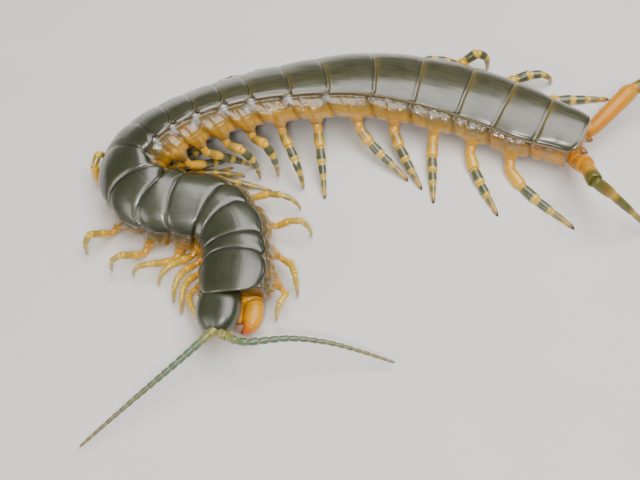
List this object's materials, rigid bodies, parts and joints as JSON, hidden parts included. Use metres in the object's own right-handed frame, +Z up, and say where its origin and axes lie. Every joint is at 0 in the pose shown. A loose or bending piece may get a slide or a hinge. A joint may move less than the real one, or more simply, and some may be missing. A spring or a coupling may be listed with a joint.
{
  "type": "giant centipede",
  "caption": "Giant centipede at rest, life size, with its trunk bent in a hook and its head turned back, a still model of the whole animal.",
  "frame": {"origin": "on the floor, under the middle of the animal's box", "axes": "+X towards the tail end along the longest extent, +Y away from the head, +Z up"},
  "size_m": [0.1525, 0.102, 0.0175],
  "materials": {
    "dark_olive_cuticle": "glossy dark olive back plates over amber sides",
    "antenna_cuticle": "satin blue-green articles with pale joints",
    "orange_cuticle": "glossy amber orange",
    "leg_cuticle": "glossy amber yellow with blue-green bands"
  },
  "bodies": {
    "root": {"head": "dark_olive_cuticle", "forcipule_plate": "orange_cuticle", "forcipule_left": "orange_cuticle", "forcipule_right": "orange_cuticle", "antenna_left": "antenna_cuticle", "antenna_right": "antenna_cuticle", "ultimate_leg_left": "orange_cuticle", "ultimate_leg_right": "orange_cuticle", "trunk_1": "dark_olive_cuticle", "trunk_2": "dark_olive_cuticle", "trunk_3": "dark_olive_cuticle", "trunk_4": "dark_olive_cuticle", "trunk_5": "dark_olive_cuticle", "trunk_6": "dark_olive_cuticle", "trunk_7": "dark_olive_cuticle", "leg_left_01": "leg_cuticle", "leg_left_02": "leg_cuticle", "leg_left_03": "leg_cuticle", "leg_left_04": "leg_cuticle", "leg_left_05": "leg_cuticle", "leg_left_06": "leg_cuticle", "leg_left_07": "leg_cuticle", "leg_left_08": "leg_cuticle", "leg_left_09": "leg_cuticle", "leg_left_10": "leg_cuticle", "leg_left_11": "leg_cuticle", "leg_left_12": "leg_cuticle", "leg_left_13": "leg_cuticle", "leg_left_14": "leg_cuticle", "leg_left_15": "leg_cuticle", "leg_left_16": "leg_cuticle", "leg_left_17": "leg_cuticle", "leg_left_18": "leg_cuticle", "leg_left_19": "leg_cuticle", "leg_left_20": "leg_cuticle", "leg_right_01": "leg_cuticle", "leg_right_02": "leg_cuticle", "leg_right_03": "leg_cuticle", "leg_right_04": "leg_cuticle", "leg_right_05": "leg_cuticle", "leg_right_06": "leg_cuticle", "leg_right_07": "leg_cuticle", "leg_right_08": "leg_cuticle", "leg_right_09": "leg_cuticle", "leg_right_10": "leg_cuticle", "leg_right_11": "leg_cuticle", "leg_right_12": "leg_cuticle", "leg_right_13": "leg_cuticle", "leg_right_14": "leg_cuticle", "leg_right_15": "leg_cuticle", "leg_right_16": "leg_cuticle", "leg_right_17": "leg_cuticle", "leg_right_18": "leg_cuticle", "leg_right_19": "leg_cuticle", "leg_right_20": "leg_cuticle"}
  },
  "joints": []
}
